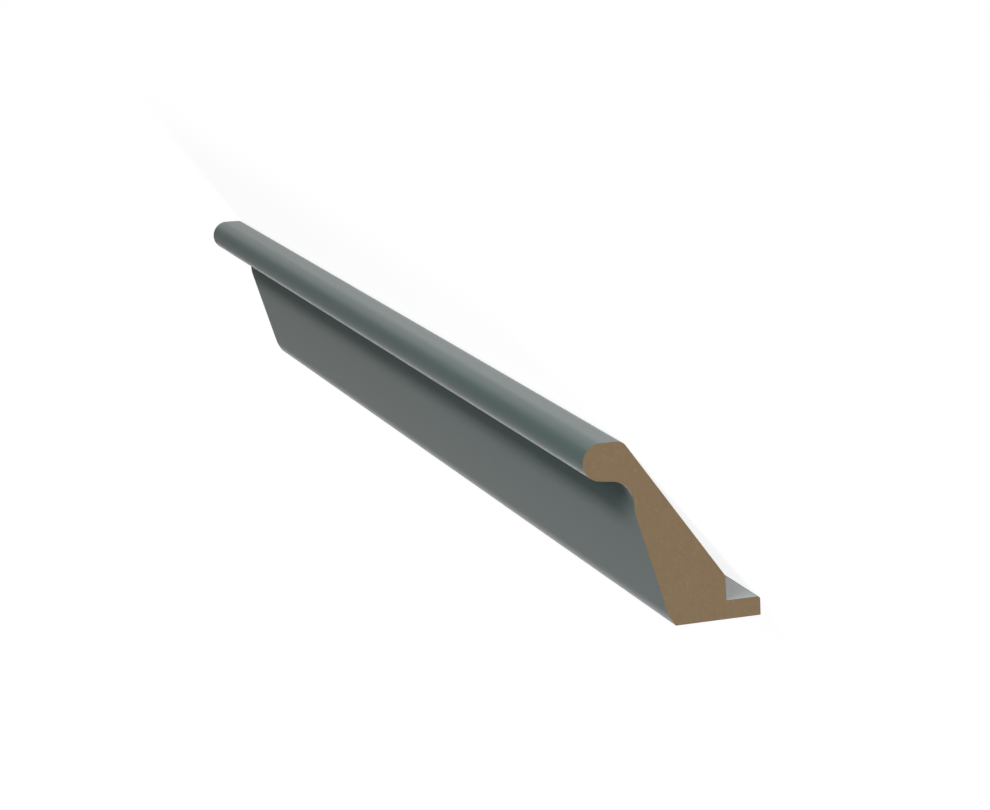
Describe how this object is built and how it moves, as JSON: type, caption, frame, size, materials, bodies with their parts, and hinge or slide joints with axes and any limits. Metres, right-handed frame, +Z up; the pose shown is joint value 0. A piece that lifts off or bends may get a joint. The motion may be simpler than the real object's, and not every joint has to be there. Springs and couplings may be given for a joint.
{
  "type": "cornice moulding",
  "caption": "Straight cornice moulding that sits on a cupboard top, with a rear fixing lip, a face leaning out over a cove to a half-round nose, and square sawn ends.",
  "frame": {"origin": "on the floor, under the middle of the bounding box, with the piece lying on its back", "axes": "+X along the piece, -Y towards the half-round nose, +Y towards the foot, +Z up from the floor; fitted, it is turned about X so that the seat faces down"},
  "size_m": [0.5, 0.0794, 0.0253],
  "materials": {
    "painted_fibreboard": "satin paint on the long faces, bare cut fibreboard on the sawn ends"
  },
  "bodies": {
    "root": {"cornice_moulding": "painted_fibreboard"}
  },
  "joints": []
}
